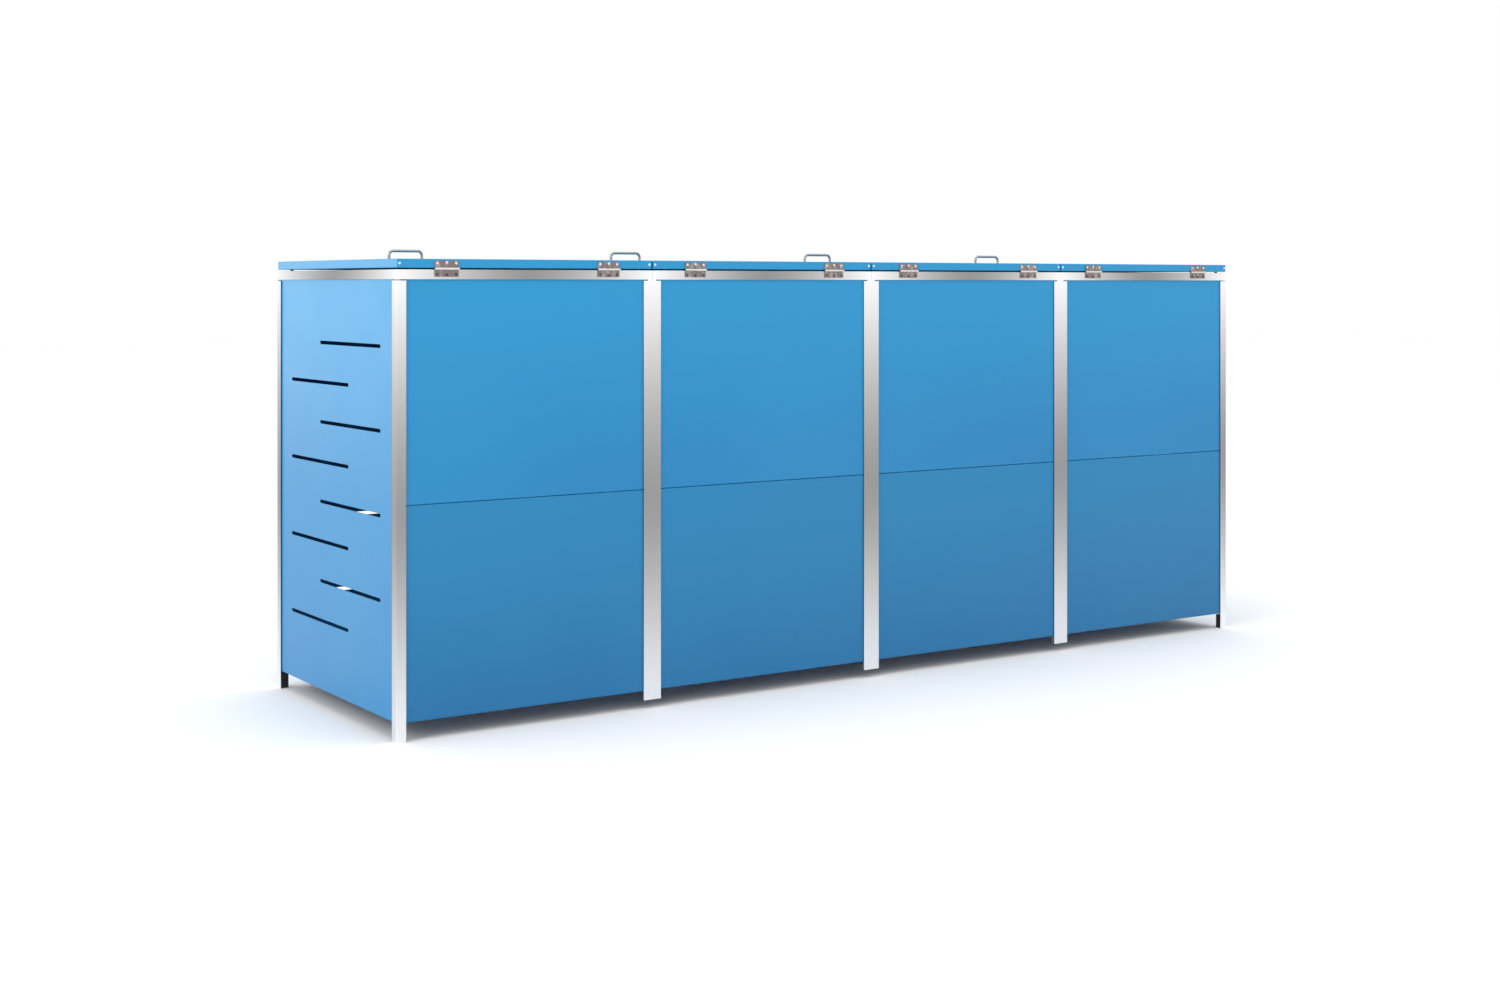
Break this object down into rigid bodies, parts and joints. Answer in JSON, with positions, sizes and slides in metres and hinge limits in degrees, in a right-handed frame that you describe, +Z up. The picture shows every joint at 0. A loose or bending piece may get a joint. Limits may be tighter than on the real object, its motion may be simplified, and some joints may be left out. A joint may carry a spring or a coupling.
{
  "type": "wheeled bin store",
  "caption": "Long low outdoor bin store: steel frame, blue sheet panels, a rear-hinged lid and a slotted, lockable front door on every bay.",
  "frame": {"origin": "on the ground, under the middle of the overall bounding box", "axes": "+X along the length, to the right of someone facing the doors; -Y out of the doors; +Y out of the rear, where the lids are hinged; +Z up"},
  "size_m": [2.765, 0.8162, 1.16],
  "materials": {
    "stainless": "brushed",
    "blue_paint": "satin powder coat",
    "blue_paint_lower": "satin powder coat",
    "handle_steel": "polished",
    "hinge_steel": "satin",
    "lock_metal": "polished",
    "zinc_steel": "bright zinc",
    "black_plastic": "matte",
    "rubber": "matte"
  },
  "bodies": {
    "store_frame": {"corner_post_rear_left": "stainless", "corner_post_rear_right": "stainless", "corner_post_front_left": "stainless", "corner_post_front_right": "stainless", "rear_mid_posts": "stainless", "front_mid_posts": "stainless", "rear_cover_strips": "stainless", "front_cover_strips": "stainless", "rear_top_rails": "stainless", "front_top_rails": "stainless", "cross_top_rails": "stainless", "rear_upper_panel_1": "blue_paint", "rear_upper_panel_2": "blue_paint", "rear_upper_panel_3": "blue_paint", "rear_upper_panel_4": "blue_paint", "rear_lower_panel_1": "blue_paint_lower", "rear_lower_panel_2": "blue_paint_lower", "rear_lower_panel_3": "blue_paint_lower", "rear_lower_panel_4": "blue_paint_lower", "side_panel_left": "blue_paint", "side_panel_right": "blue_paint", "post_feet": "black_plastic", "corner_cleats": "zinc_steel", "seam_bolts": "zinc_steel", "lid_buffers": "rubber", "fixed_hinge_leaves": "hinge_steel", "hinge_pins": "hinge_steel", "lock_keepers": "zinc_steel"},
    "lid_1": {"lid_1": "blue_paint", "lid_handle_1": "handle_steel", "lid_hinge_leaves_1": "hinge_steel"},
    "door_1": {"door_1": "blue_paint", "door_handle_1": "handle_steel", "door_hinge_leaves_1": "hinge_steel", "lock_body_1": "lock_metal"},
    "lock_1": {"lock_plug_1": "lock_metal"},
    "lid_2": {"lid_2": "blue_paint", "lid_handle_2": "handle_steel", "lid_hinge_leaves_2": "hinge_steel"},
    "door_2": {"door_2": "blue_paint", "door_handle_2": "handle_steel", "door_hinge_leaves_2": "hinge_steel", "lock_body_2": "lock_metal"},
    "lock_2": {"lock_plug_2": "lock_metal"},
    "lid_3": {"lid_3": "blue_paint", "lid_handle_3": "handle_steel", "lid_hinge_leaves_3": "hinge_steel"},
    "door_3": {"door_3": "blue_paint", "door_handle_3": "handle_steel", "door_hinge_leaves_3": "hinge_steel", "lock_body_3": "lock_metal"},
    "lock_3": {"lock_plug_3": "lock_metal"},
    "lid_4": {"lid_4": "blue_paint", "lid_handle_4": "handle_steel", "lid_hinge_leaves_4": "hinge_steel"},
    "door_4": {"door_4": "blue_paint", "door_handle_4": "handle_steel", "door_hinge_leaves_4": "hinge_steel", "lock_body_4": "lock_metal"},
    "lock_4": {"lock_plug_4": "lock_metal"}
  },
  "joints": [
    {"name": "lid_1_hinge", "type": "hinge", "parent": "store_frame", "child": "lid_1", "pos_m": [1.03687, 0.4051, 1.10175], "axis": [-1, 0, 0], "range_deg": [0, 110]},
    {"name": "door_1_hinge", "type": "hinge", "parent": "store_frame", "child": "door_1", "pos_m": [0.7175, -0.3763, 0.5595], "axis": [0, 0, -1], "range_deg": [0, 150]},
    {"name": "lock_1_turn", "type": "hinge", "parent": "door_1", "child": "lock_1", "pos_m": [1.323, -0.3731, 0.849], "axis": [0, -1, 0], "range_deg": [0, 90]},
    {"name": "lid_2_hinge", "type": "hinge", "parent": "store_frame", "child": "lid_2", "pos_m": [0.34563, 0.4051, 1.10175], "axis": [-1, 0, 0], "range_deg": [0, 110]},
    {"name": "door_2_hinge", "type": "hinge", "parent": "store_frame", "child": "door_2", "pos_m": [0.02625, -0.3763, 0.5595], "axis": [0, 0, -1], "range_deg": [0, 150]},
    {"name": "lock_2_turn", "type": "hinge", "parent": "door_2", "child": "lock_2", "pos_m": [0.63175, -0.3731, 0.849], "axis": [0, -1, 0], "range_deg": [0, 90]},
    {"name": "lid_3_hinge", "type": "hinge", "parent": "store_frame", "child": "lid_3", "pos_m": [-0.34563, 0.4051, 1.10175], "axis": [-1, 0, 0], "range_deg": [0, 110]},
    {"name": "door_3_hinge", "type": "hinge", "parent": "store_frame", "child": "door_3", "pos_m": [-0.665, -0.3763, 0.5595], "axis": [0, 0, -1], "range_deg": [0, 150]},
    {"name": "lock_3_turn", "type": "hinge", "parent": "door_3", "child": "lock_3", "pos_m": [-0.0595, -0.3731, 0.849], "axis": [0, -1, 0], "range_deg": [0, 90]},
    {"name": "lid_4_hinge", "type": "hinge", "parent": "store_frame", "child": "lid_4", "pos_m": [-1.03687, 0.4051, 1.10175], "axis": [-1, 0, 0], "range_deg": [0, 110]},
    {"name": "door_4_hinge", "type": "hinge", "parent": "store_frame", "child": "door_4", "pos_m": [-1.35625, -0.3763, 0.5595], "axis": [0, 0, -1], "range_deg": [0, 150]},
    {"name": "lock_4_turn", "type": "hinge", "parent": "door_4", "child": "lock_4", "pos_m": [-0.75075, -0.3731, 0.849], "axis": [0, -1, 0], "range_deg": [0, 90]}
  ]
}
